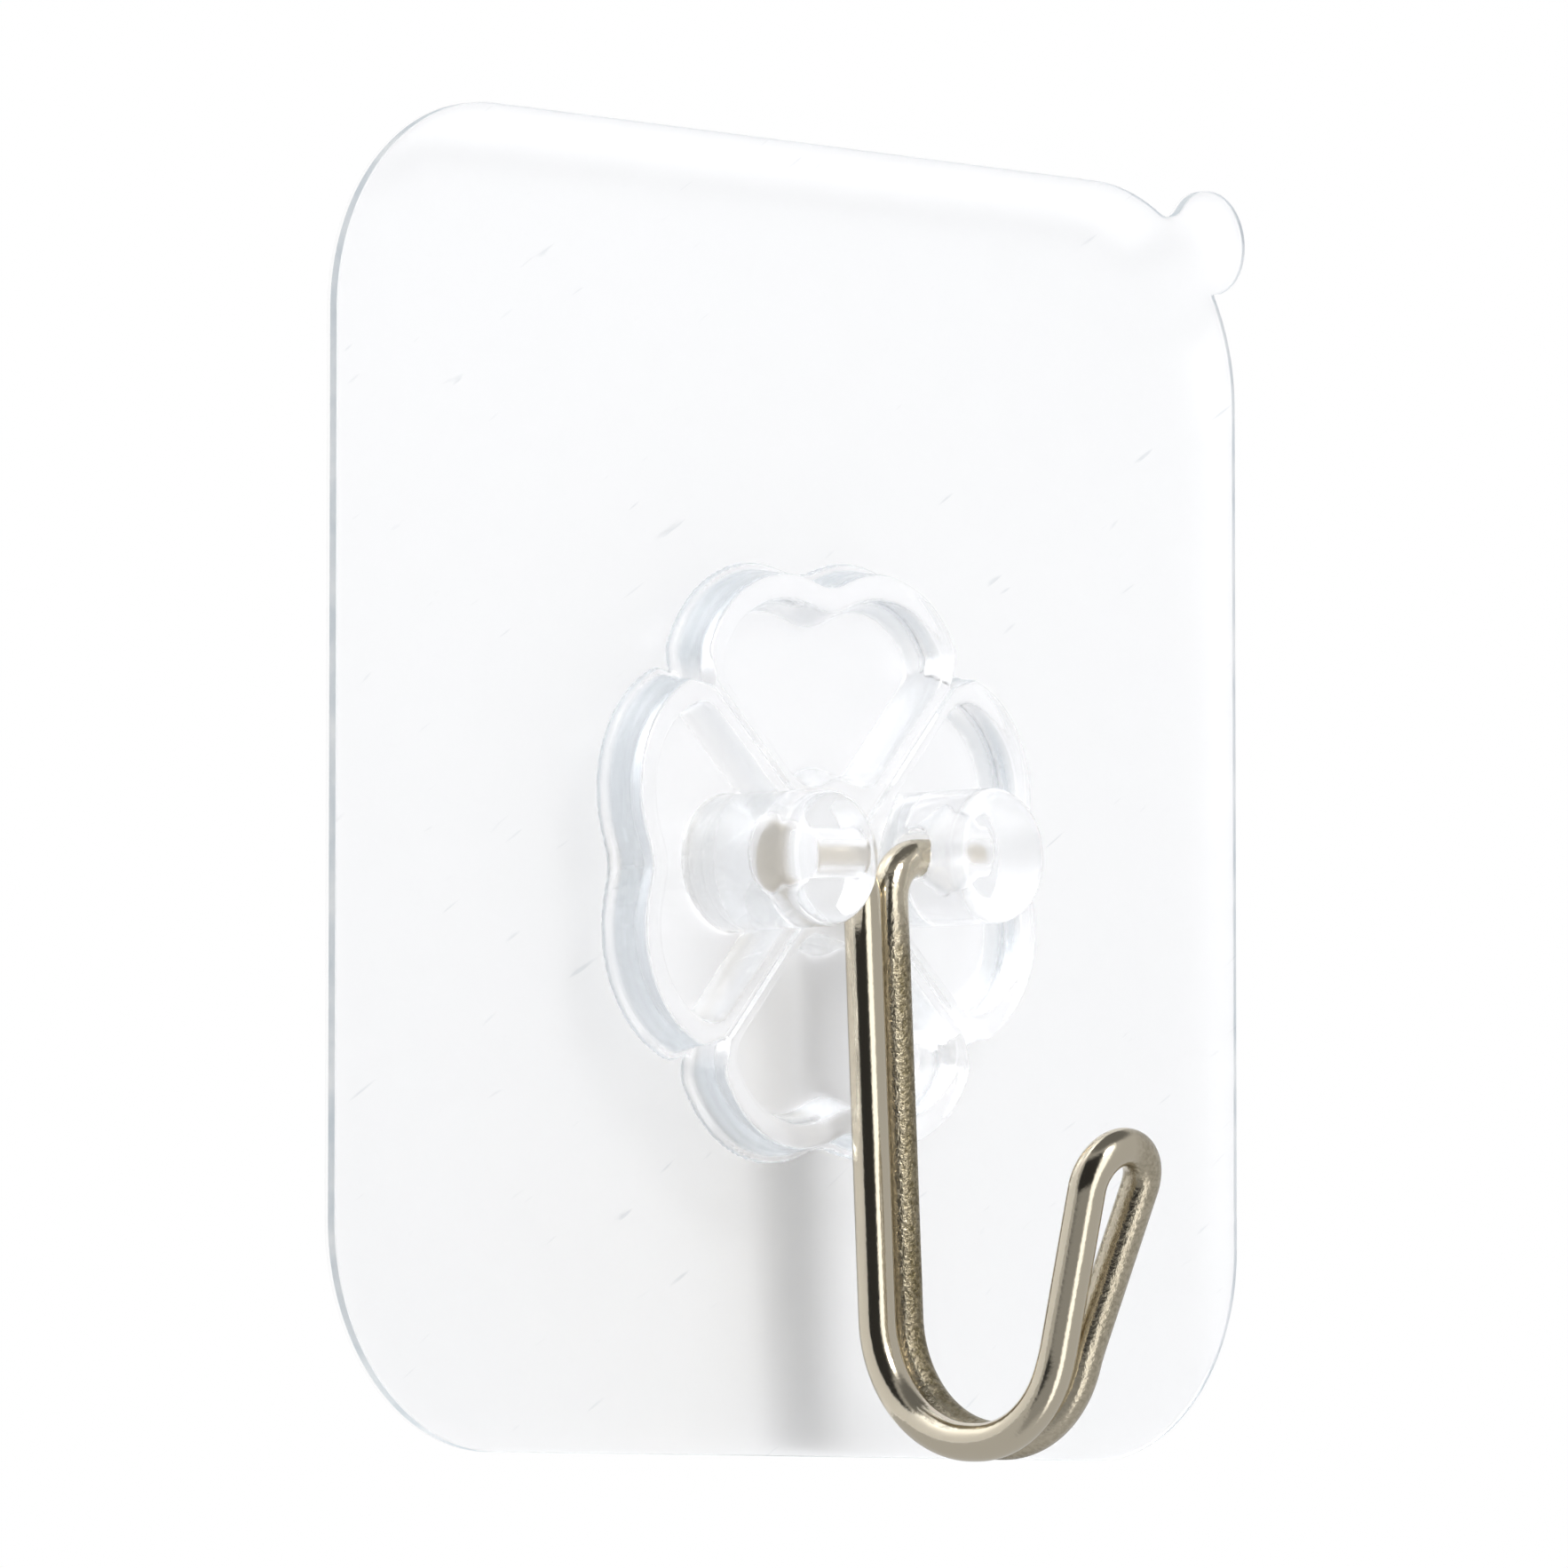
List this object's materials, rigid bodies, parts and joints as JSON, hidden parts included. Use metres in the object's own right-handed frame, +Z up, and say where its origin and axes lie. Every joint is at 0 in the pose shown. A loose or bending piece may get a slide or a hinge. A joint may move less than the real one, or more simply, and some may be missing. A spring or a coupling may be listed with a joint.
{
  "type": "adhesive wall hook",
  "caption": "Clear square stick-on wall hook: rounded sheet with a pull tab, clover-shaped moulded base and a doubled wire hook that swings between two round posts.",
  "frame": {"origin": "middle of the sheet on the back of the adhesive, where it meets the wall", "axes": "+Y into the wall, -Y to the front, +Z up, +X to the right seen from the front"},
  "size_m": [0.0608, 0.0203, 0.0605],
  "materials": {
    "sheet": "clear, glossy",
    "adhesive": "clear, tacky",
    "cement": "clear",
    "moulding": "clear, glossy moulding",
    "wire": "nickel-plated steel wire, lightly pitted"
  },
  "bodies": {
    "pad": {"carrier_sheet": "sheet", "adhesive_layer": "adhesive", "bond_layer": "cement", "hook_base": "moulding"},
    "hook": {"wire_hook": "wire"}
  },
  "joints": [
    {"name": "hook_swing", "type": "hinge", "parent": "pad", "child": "hook", "pos_m": [0, -0.00505, -0.003], "axis": [-0.9986, 0, -0.0523], "range_deg": [-4, 138]}
  ]
}
